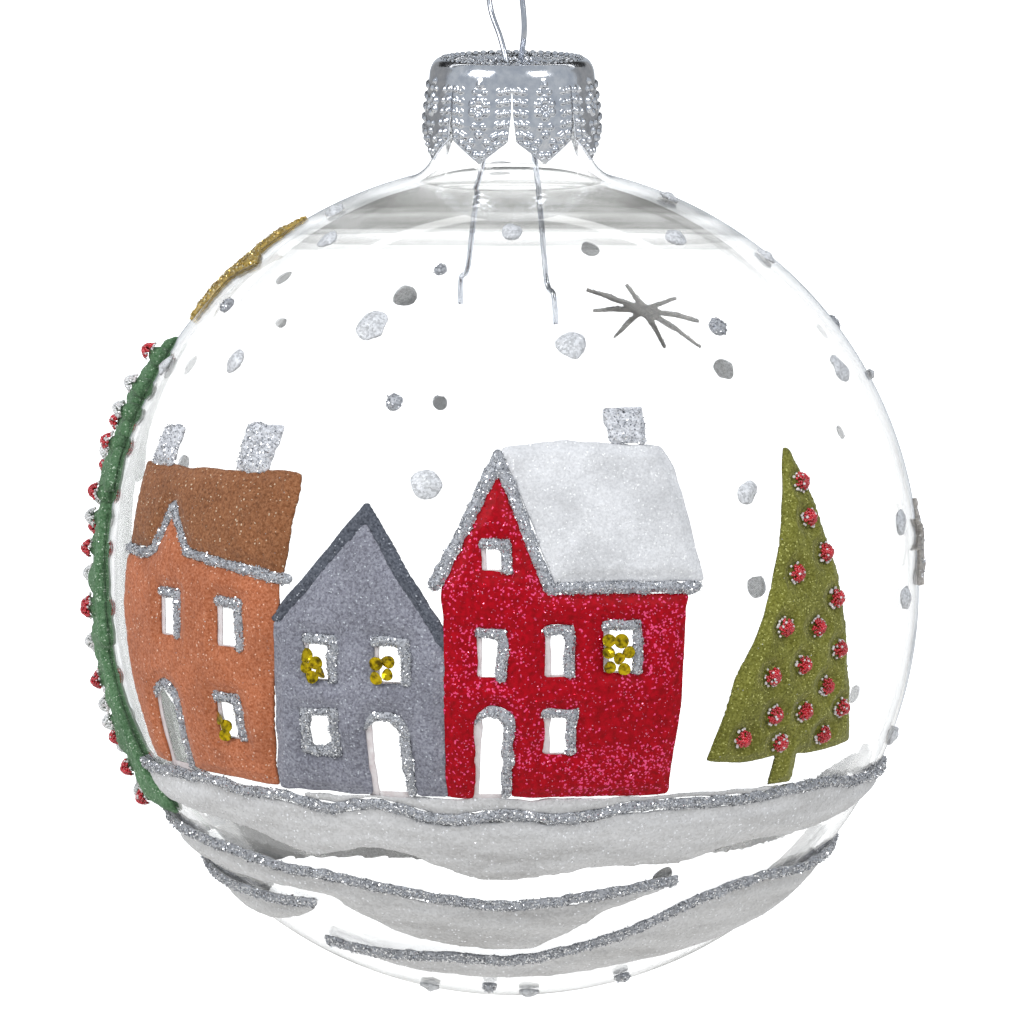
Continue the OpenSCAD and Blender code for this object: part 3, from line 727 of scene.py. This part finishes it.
def bead_clusters(node, colours, fringe, seed):
    """Each bead of the CAD node as a heap of micro beads, with a fringe of clear ones round it.

    colours are the materials of the heap, the fringe and the bed that the heap lies in.
    """
    heap, bead_r, golden = 58, 0.145, math.pi * (3 - math.sqrt(5))
    bed_lap, bed_drop, fall = 0.25, 0.85, 0.75
    random = np.random.default_rng(seed)
    ball, ball_faces = ico_ball()
    points, groups = [], {0: [], 1: [], 2: []}
    count = 0
    for solid in islands(node):
        middle = on_skin(solid.mean(axis=0)[None, :], np.zeros(1))
        out = skin(middle)[1][0]
        top = skin(solid)[0].max()
        reach = np.linalg.norm(solid - middle - np.outer((solid - middle) @ out, out), axis=1).max()
        side, other = square_to(out)
        bed_r = reach + bed_lap
        bed = middle[0] + ball[:, :1] * side * bed_r + ball[:, 1:2] * other * bed_r
        points.append(bed + out * (np.maximum(ball[:, 2:] * (top - bed_drop), 0) + FILM))
        groups[2].append(ball_faces + count)
        count += len(ball)
        for i in range(heap + fringe):
            outside = i >= heap
            share = math.sqrt((i + 0.5) / heap) if not outside else 1.0 + 0.28 * random.random()
            turn = i * golden + random.normal(0, 0.15)
            if outside:
                turn = random.random() * 2 * math.pi
            height = top - 0.16 - fall * min(share, 1) ** 2 - (0.1 if outside else 0)
            size = bead_r * (0.85 + 0.3 * random.random())
            across = math.cos(turn) * side + math.sin(turn) * other
            points.append(middle[0] + out * height + reach * 0.92 * share * across + ball * size)
            groups[1 if outside or random.random() < 0.08 else 0].append(ball_faces + count)
            count += len(ball)
    faces = [(np.concatenate(found), number) for number, found in groups.items()]
    mesh = mesh_of(node + "_beads", np.concatenate(points), faces)
    piece(node + "_heaps", mesh, colours, "ball", [node])


def build_beads():
    """The trees' decorations."""
    red = bead_glass("red_bead_glass", linear(214, 28, 48), linear(160, 8, 26))
    clear = bead_glass("clear_bead_glass", linear(238, 232, 232), linear(205, 196, 196))
    white = bead_glass("white_bead_glass", linear(240, 240, 240), linear(205, 205, 205))
    bead_clusters("small_tree_beads", [red, clear, RECIPES["small_tree"]], 14, 1)
    bead_clusters("tall_tree_beads", [red, clear, RECIPES["tall_tree"]], 8, 2)
    bead_clusters("tall_tree_snowballs", [white, clear, RECIPES["tall_tree"]], 8, 3)


def build_sequins():
    """The lit windows' sequins: discs of crumpled film that lie over each other."""
    film = sequin_film("gold_sequin_film", linear(206, 178, 8), linear(92, 76, 0))
    random = np.random.default_rng(7)
    rings, spokes = 4, 18
    off_glass, dish_depth, half_thick = 0.75, 0.12, 0.02
    ring = np.arange(spokes)
    following = (ring + 1) % spokes
    for node in nodes_ending("_sequins"):
        points, quads, tips = [], [], []
        for solid in islands(node):
            middle = on_skin(solid.mean(axis=0)[None, :], np.zeros(1))[0]
            out = skin(middle[None, :])[1][0]
            tilt = out + random.normal(0, 0.28, 3)
            tilt /= np.linalg.norm(tilt)
            side, other = square_to(tilt)
            radius = 0.58 + 0.16 * random.random()
            fold = random.random() * math.pi
            disc = [(0.0, 0.0)] + [
                (radius * step / rings, spoke * 2 * math.pi / spokes)
                for step in range(1, rings + 1) for spoke in range(spokes)
            ]
            for face in (1, -1):
                first = len(points) + 1
                for r, turn in disc:
                    dish = dish_depth * (r / radius) ** 2 * math.cos(2 * (turn - fold))
                    dish += half_thick * face
                    across = math.cos(turn) * side + math.sin(turn) * other
                    points.append(middle + out * off_glass + tilt * dish + r * across)
                fan = np.column_stack([np.full(spokes, first - 1), first + ring, first + following])
                tips.append(fan[:, ::face])
                band = np.column_stack([following, ring, ring + spokes, following + spokes])[:, ::face]
                quads += [band + first + spokes * step for step in range(rings - 1)]
        groups = [(np.concatenate(quads), 0), (np.concatenate(tips), 0)]
        mesh = mesh_of(node + "_film", np.array(points), groups)
        piece(node + "_discs", mesh, [film], "ball", [node])


# ---- glass, cap and wire

def jar_wall(depth):
    """The glass's outline at a depth below the outer surface, from the bottom to the rim."""
    radius = BALL_R - depth
    touch = math.atan2(FLARE_Z - BAND_H, FLARE_X)
    lower = [(radius * math.cos(a), radius * math.sin(a)) for a in np.linspace(-math.pi / 2, 0, 70)]
    upper = [(radius * math.cos(a), BAND_H + radius * math.sin(a)) for a in np.linspace(0, touch, 60)]
    flare = FLARE_R + depth
    bend = [(FLARE_X + flare * math.cos(a), FLARE_Z + flare * math.sin(a))
            for a in np.linspace(math.pi + touch, math.pi, 18)[1:]]
    neck = [(NECK_R - depth, z) for z in np.linspace(FLARE_Z, NECK_TOP - LIP_H, 8)[1:]]
    wall = np.array(lower + upper + bend + neck)
    wall[0, 0] = 0
    return wall


def build_glass():
    """The blown glass as one wall with an outer and an inner side, and a fire-polished rim."""
    sides = 256
    lip = NECK_R - GLASS_T / 2
    rim = [(lip + GLASS_T / 2 * math.cos(a), NECK_TOP - LIP_H + LIP_H * math.sin(a))
           for a in np.linspace(0, math.pi, 9)[1:-1]]
    outline = np.concatenate([jar_wall(0), rim, jar_wall(GLASS_T)[::-1]])
    turns = np.arange(sides) * 2 * math.pi / sides
    rings = [
        np.column_stack([r * np.cos(turns), r * np.sin(turns), np.full(sides, z)])
        for r, z in outline[1:-1]
    ]
    ends = np.array([[0, 0, outline[0, 1]], [0, 0, outline[-1, 1]]])
    quads, fans = tube_faces(len(rings), sides)
    mesh = mesh_of("glass_wall", np.concatenate(rings + [ends]), [(quads, 0), (fans, 0)])
    nodes = ["glass_ball", "glass_neck", "glass_shoulder"]
    piece("glass_wall", mesh, [clear_glass()], "ball", nodes)


CAP_LOW, CAP_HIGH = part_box("cap_shell")
CAP_TOP = (CAP_HIGH.z - CENTRE_Z) / MM
CAP_TIP = (CAP_LOW.z - CENTRE_Z) / MM
CAP_R = CAP_HIGH.x / MM
CAP_TOP_R = 7.95
CAP_T = 0.3
CAP_EDGE_R = 0.9
# Where the petals' straight sides end and the rounded rim begins
CAP_SIDE_TOP = CAP_TOP - 2 * CAP_EDGE_R
# The rim stands out past the side by this much
RIM_BULGE = 0.15
WIRE_HOLE_R = 2.3
PETALS = 8
PETAL_TIP = 2.2
PETAL_CORNER = CAP_TIP + PETAL_TIP
SLIT_TOP = CAP_TOP - 2.7
BEAD_R = 0.34
# The top's ring of dots, and the fluted rosette inside it
DOTS, DOT_RING_R, DOT_R = 52, 6.85, 0.34
ROSETTE_R = 6.2


def cap_radius(z):
    """The cap's outer radius at a height, below its rounded rim."""
    levels = [CAP_TIP, CAP_TIP + 3.8, CAP_SIDE_TOP]
    return np.interp(z, levels, [CAP_R - 0.15, CAP_R, CAP_TOP_R + RIM_BULGE])


def petal_half(z):
    """Half the width of a petal at a height."""
    full = cap_radius(z) * math.pi / PETALS
    if z > SLIT_TOP:
        return full
    gap = np.interp(z, [PETAL_CORNER, PETAL_CORNER + 2.6, SLIT_TOP], [0.42, 0.1, 0.04])
    return (full - gap) * np.clip((z - CAP_TIP) / PETAL_TIP, 0, 1)


def petal_beads():
    """Places of the raised beads on one petal: [distance from its middle, height, radius]."""
    found = []
    for z in np.arange(CAP_TOP - 2.5, PETAL_CORNER + 0.1, -1.06):
        edge = petal_half(z)
        for side in (-1, 1):
            found.append((side * (edge - 0.42), z, BEAD_R))
            found.append((side * (edge - 1.14), z - 0.1, BEAD_R))
    # Two rows along each slanting edge of the tip
    half = petal_half(PETAL_CORNER)
    long = math.hypot(half, PETAL_TIP)
    for inset, start in ((0.48, 0.8), (1.2, 1.9)):
        for along in np.arange(start, long, 0.92):
            x = half * along / long - PETAL_TIP * inset / long
            z = CAP_TIP + PETAL_TIP * along / long + half * inset / long
            found += [(x, z, BEAD_R), (-x, z, BEAD_R)]
    # A six-lobed flower, with three beads above and below it
    flower, lobe = CAP_TOP - 4.2, 0.78
    found.append((0, flower, 0.3))
    for i in range(6):
        turn = math.pi / 6 + i * math.pi / 3
        found.append((lobe * math.cos(turn), flower + lobe * math.sin(turn), 0.42))
    for middle, way in ((CAP_TOP - 2.3, -1), (CAP_TOP - 6.4, 1)):
        pair = middle + 0.35 * way
        found += [(0, middle - 0.4 * way, 0.38), (-0.5, pair, 0.3), (0.5, pair, 0.3)]
    return found


def raised(x, z, beads):
    """Height of the pressed pattern at places on a petal."""
    height = np.zeros_like(x)
    for bead_x, bead_z, radius in beads:
        far = ((x - bead_x) ** 2 + (z - bead_z) ** 2) / radius**2
        height = np.maximum(height, 0.85 * radius * np.sqrt(np.clip(1 - far, 0, None)))
    return height


def petal_row(share, middle, z, beads):
    """A level row on a petal: (turns, outer radii, outer heights, inner radii, inner heights)."""
    radius = float(cap_radius(z))
    half = petal_half(z) / radius
    level = np.full(len(share), z)
    lift = raised(share * half * radius, level, beads)
    return middle + share * half, radius + lift, level, radius - CAP_T + 0.6 * lift, level


def rim_row(share, middle, a):
    """The same for the polished rim, at an angle from 0 at its side to a right angle on top."""
    across, up = math.cos(a), math.sin(a)
    out_r = np.full(len(share), CAP_TOP_R - CAP_EDGE_R + (CAP_EDGE_R + RIM_BULGE * across) * across)
    out_z = np.full(len(share), CAP_TOP - CAP_EDGE_R + CAP_EDGE_R * up - (1 - up) * CAP_EDGE_R)
    return middle + share * math.pi / PETALS, out_r, out_z, out_r - CAP_T * across, out_z - CAP_T * up


def top_row(share, middle, radius):
    """The same for the top, at a radius: a ring of dots round a fluted rosette."""
    turn = middle + share * math.pi / PETALS
    dot = np.abs(((turn * DOTS / (2 * math.pi)) % 1) - 0.5) * 2 * math.pi * radius / DOTS
    far = (dot**2 + (radius - DOT_RING_R) ** 2) / DOT_R**2
    flutes = 0.11 * np.cos(turn * 24 + 3 * math.sin(radius)) * np.clip((ROSETTE_R - radius) * 2, 0, 1)
    ripples = 0.08 * math.sin(radius * 5) * (radius < ROSETTE_R)
    out_r = np.full(len(share), radius)
    out_z = CAP_TOP - 0.12 + (0.3 * np.sqrt(np.clip(1 - far, 0, None)) + flutes + ripples)
    return turn, out_r, out_z, out_r, out_z - CAP_T


def build_cap():
    """The crown cap: a pressed top with a dotted ring, a polished rim and eight beaded petals."""
    columns, side_rows, rim_rows, top_rows = 48, 84, 10, 46
    beads = petal_beads()
    step = 2 * math.pi / PETALS
    share = np.linspace(-1, 1, columns)
    flat_r = CAP_TOP_R - CAP_EDGE_R
    outer, inner = [], []
    for petal in range(PETALS):
        middle = petal * step + step / 2
        made = [
            petal_row(share, middle, CAP_TIP + (CAP_SIDE_TOP - CAP_TIP) * row / (side_rows - 1), beads)
            for row in range(side_rows)
        ] + [
            rim_row(share, middle, math.pi / 2 * (row + 1) / rim_rows) for row in range(rim_rows)
        ] + [
            top_row(share, middle, flat_r - (row + 1) / top_rows * (flat_r - WIRE_HOLE_R))
            for row in range(top_rows)
        ]
        for turn, out_r, out_z, in_r, in_z in made:
            outer.append(np.column_stack([out_r * np.cos(turn), out_r * np.sin(turn), out_z]))
            inner.append(np.column_stack([in_r * np.cos(turn), in_r * np.sin(turn), in_z]))
    points = np.concatenate(outer + inner)
    half_count = len(points) // 2
    rows = side_rows + rim_rows + top_rows
    sheet, edge = grid_faces(rows, columns)
    following = np.roll(edge, -1)
    # Above the slits the petals are one sheet, so they have no side faces there
    slit_row = math.ceil((SLIT_TOP - CAP_TIP) / (CAP_SIDE_TOP - CAP_TIP) * (side_rows - 1))
    below = np.maximum(edge, following) // columns <= slit_row
    open_edge = (edge % columns != following % columns) | below
    edge, following = edge[open_edge], following[open_edge]
    rim = np.column_stack([following, edge, edge + half_count, following + half_count])
    quads = []
    for petal in range(PETALS):
        base = petal * rows * columns
        quads += [sheet + base, sheet[:, ::-1] + base + half_count, rim + base]
    mesh = mesh_of("crown_cap", points, [(np.concatenate(quads), 0)])
    weld(mesh)
    piece("crown_cap", mesh, [pressed_tin()], "cap", ["cap_shell"])


def weld(mesh):
    """Joins the points of a mesh that lie in the same place."""
    work = bmesh.new()
    work.from_mesh(mesh)
    bmesh.ops.remove_doubles(work, verts=work.verts, dist=0.004 * MM)
    bmesh.ops.dissolve_degenerate(work, dist=0.001 * MM, edges=work.edges)
    work.to_mesh(mesh)
    work.free()


# The hanger's route lies in one plane: [distance from the axis, height above the cap's top]
LOOP_ROUTE = [
    [1.5, -1.9], [1.4, -1.2], [1.8, 0], [2.45, 2.2], [2.5, 4], [2.1, 6], [1.7, 7.8], [0.6, 9.7],
    [-1.4, 10.5], [-3.4, 9.8], [-4.7, 8], [-4.9, 6], [-4.2, 4], [-2.5, 1.9], [-1.4, 0],
    [-1.1, -1.2], [-1.2, -1.9],
]
FRONT_LEG_ROUTE = [
    [1.5, -1.9], [3.4, -5.5], [4.7, -10], [6, -15.5], [7.2, -21.4], [8.6, -22.6], [9.1, -25.4],
]
BACK_LEG_ROUTE = [
    [-1.2, -1.9], [-4.6, -5.5], [-6, -10], [-7.8, -15.5], [-9.3, -21.4], [-10.7, -22.6], [-10.9, -25.2],
]
WIRE_R = 0.28
WIRE_TURN = math.radians(62)


def build_wire():
    """The sprung wire: the loop above the cap and the two legs inside the ball."""
    steel = spring_wire()
    across = np.array([math.cos(WIRE_TURN), -math.sin(WIRE_TURN), 0])
    for name, route, body in (
        ("hanger_loop", LOOP_ROUTE, "hanger"),
        ("hanger_leg_front", FRONT_LEG_ROUTE, "front_leg"),
        ("hanger_leg_back", BACK_LEG_ROUTE, "back_leg"),
    ):
        flat = smooth_route(route, 10)
        path = flat[:, :1] * across + np.column_stack([np.zeros((len(flat), 2)), CAP_TOP + flat[:, 1]])
        points, quads, fans = swept(path, WIRE_R, 20)
        mesh = mesh_of(name + "_wire", points, [(quads, 0), (fans, 0)])
        piece(name + "_wire", mesh, [steel], body, [name])


# ---- the glue inside the windows

def build_glue_film():
    """A thin film of glue down the left side and along the sill of each opening in the houses."""
    film = glue_film()
    width, sill, lap, thick, trim = 0.75, 0.3, 0.3, 0.1, 1.05
    widest_opening = 7
    columns, rows = 7, 14
    sheet, edge = grid_faces(columns, rows)
    following = np.roll(edge, -1)
    total = columns * rows
    front = sheet[:, [0, 3, 2, 1]]
    rim = np.column_stack([edge, following, following + total, edge + total])
    for house, angle in HOUSE_FACES.items():
        turn = math.radians(angle)
        right = np.array([math.cos(turn), math.sin(turn), 0])
        towards = np.array([math.sin(turn), -math.cos(turn), 0])
        points, quads = [], []
        for solid in islands(house + "_house_trim"):
            across, up = solid @ right, solid[:, 2]
            left, low, wide, high = across.min(), up.min(), across.max(), up.max()
            if wide - left > widest_opening:
                continue
            for x0, z0, x1, z1 in (
                (left - lap, low - lap, left + width, high - trim + lap),
                (left - lap, low - lap, wide - trim + lap, low + sill),
            ):
                steps = np.linspace(x0, x1, columns), np.linspace(z0, z1, rows)
                x, z = np.meshgrid(*steps, indexing="ij")
                flat = x.ravel()[:, None] * right + np.outer(z.ravel(), UP)
                middle = np.clip(flat[:, 2], 0, BAND_H)
                reach = np.sqrt(BALL_R**2 - x.ravel() ** 2 - (flat[:, 2] - middle) ** 2)
                surface = flat + reach[:, None] * towards
                surface = surface + 0.12 * noise(surface, 1.2, 9)[:, None] * right
                count = total * len(points)
                points += [on_skin(surface, np.full(total, height)) for height in (thick, FILM)]
                quads += [front + count, front[:, ::-1] + count + total, rim + count]
        mesh = mesh_of(house + "_glue", np.concatenate(points), [(np.concatenate(quads), 0)])
        piece(house + "_house_glue", mesh, [film], "ball", [])


# ---- the set, lights and camera

def plain(name, colour, strength):
    """A plain surface for the set, which may glow."""
    return new_material(name, 0.9, **{
        "Base Color": colour, "Emission Color": colour, "Emission Strength": strength})[0]


def faced(name, data, place, look_at, front):
    """A new object at a place, with one of its axes turned towards a point."""
    made = placed(name, data)
    made.location = place
    made.rotation_euler = (Vector(look_at) - Vector(place)).to_track_quat(front, "Y").to_euler()
    return made


def panel(name, place, size, colour, strength=1.0, lit=False):
    """A flat card that faces the ball. It is only reflected, and lights the paint if asked."""
    x, y = size[0] / 2, size[1] / 2
    mesh = bpy.data.meshes.new(name)
    mesh.from_pydata([(-x, -y, 0), (x, -y, 0), (x, y, 0), (-x, y, 0)], [], [(0, 1, 2, 3)])
    mesh.materials.append(plain(name, colour, strength))
    card = faced(name, mesh, place, (0, 0, CENTRE_Z), "Z")
    card.visible_camera = False
    card.visible_transmission = False
    card.visible_shadow = False
    card.visible_diffuse = lit


def area_light(name, place, size, power):
    """A square soft box that faces the ball."""
    light = bpy.data.lights.new(name, "AREA")
    light.shape = "RECTANGLE"
    light.size = light.size_y = size
    light.energy = power
    faced(name, light, place, (0, 0, CENTRE_Z), "-Z")


def surround(name, radius, strength, steepest):
    """A glowing ball round the set: white up to an angle above level, and dark grey over that.

    Only the camera and what is seen through the glass meet it.
    """
    bpy.ops.mesh.primitive_uv_sphere_add(segments=32, ring_count=36, radius=radius)
    shell = bpy.context.object
    shell.name = name
    shell.location = (0, 0, CENTRE_Z)
    shell.data.materials.append(plain(name, WHITE, strength))
    shell.data.materials.append(plain(name + "_high", grey(0.16), 1.0))
    for face in shell.data.polygons:
        face.material_index = int(face.center.z > radius * math.sin(steepest))
    shell.visible_glossy = False
    shell.visible_diffuse = False
    shell.visible_shadow = False


def build_set():
    """A white surround behind the ornament, and a grey room, soft boxes and dark cards to reflect."""
    surround("white_surround", 9.0, 1.24, math.radians(18))
    panel("floor_grey", (0, 0, CENTRE_Z - 0.5), (5, 5), (0.46, 0.45, 0.43, 1), lit=True)

    world = bpy.data.worlds.new("room")
    bpy.context.scene.world = world
    world.use_nodes = True
    background = world.node_tree.nodes["Background"]
    background.inputs["Color"].default_value = (0.87, 0.93, 1.0, 1)
    background.inputs["Strength"].default_value = 0.62

    for side in (-1, 1):
        panel("card_behind", (side * 1.1, 1.0, CENTRE_Z), (1.7, 1.9), grey(0.2))

    area_light("box_left", (-0.58, -0.47, 0.52), 0.4, 4.3)
    area_light("box_right", (0.51, -0.55, 0.52), 0.3, 2.3)
    # The shoulder of the glass reflects these, which stand behind it from 24 to 63 degrees up
    far, wide = 1.2, 2.6
    for name, low, high, tone, glow in (
        ("card_high", 57, 63, 0.02, 0.0),
        ("strip", 52.5, 56.5, 1.0, 2.2),
        ("card_low", 24, 52, 0.02, 0.0),
    ):
        middle = math.radians((low + high) / 2)
        tall = 2 * far * math.tan(math.radians(high - low) / 2)
        place = (0, far * math.cos(middle), CENTRE_Z + far * math.sin(middle))
        panel(name, place, (wide, tall), grey(tone), glow)


def build_camera():
    """A long lens just above the ball's height, with the ball a little below the picture's middle."""
    elevation = math.radians(7.3)
    distance, field, raised_aim = 1.3, 0.10064, 0.00747
    data = bpy.data.cameras.new("camera")
    data.sensor_width = 36
    data.lens = data.sensor_width * distance / field
    data.clip_start, data.clip_end = 0.05, 30
    back = Vector((0, -math.cos(elevation), math.sin(elevation)))
    up = Vector((0, math.sin(elevation), math.cos(elevation)))
    aim = Vector((0, 0, CENTRE_Z)) + up * raised_aim
    camera = placed("camera", data)
    camera.location = aim + back * distance
    camera.rotation_euler = (-back).to_track_quat("-Z", "Y").to_euler()
    bpy.context.scene.camera = camera


build_camera()
build_set()
build_glass()
build_cap()
build_wire()
build_flocked()
build_silver()
build_snow()
build_flakes_and_dots()
build_beads()
build_sequins()
build_glue_film()

bpy.context.scene.view_settings.view_transform = "Standard"
bpy.context.view_layer.update()
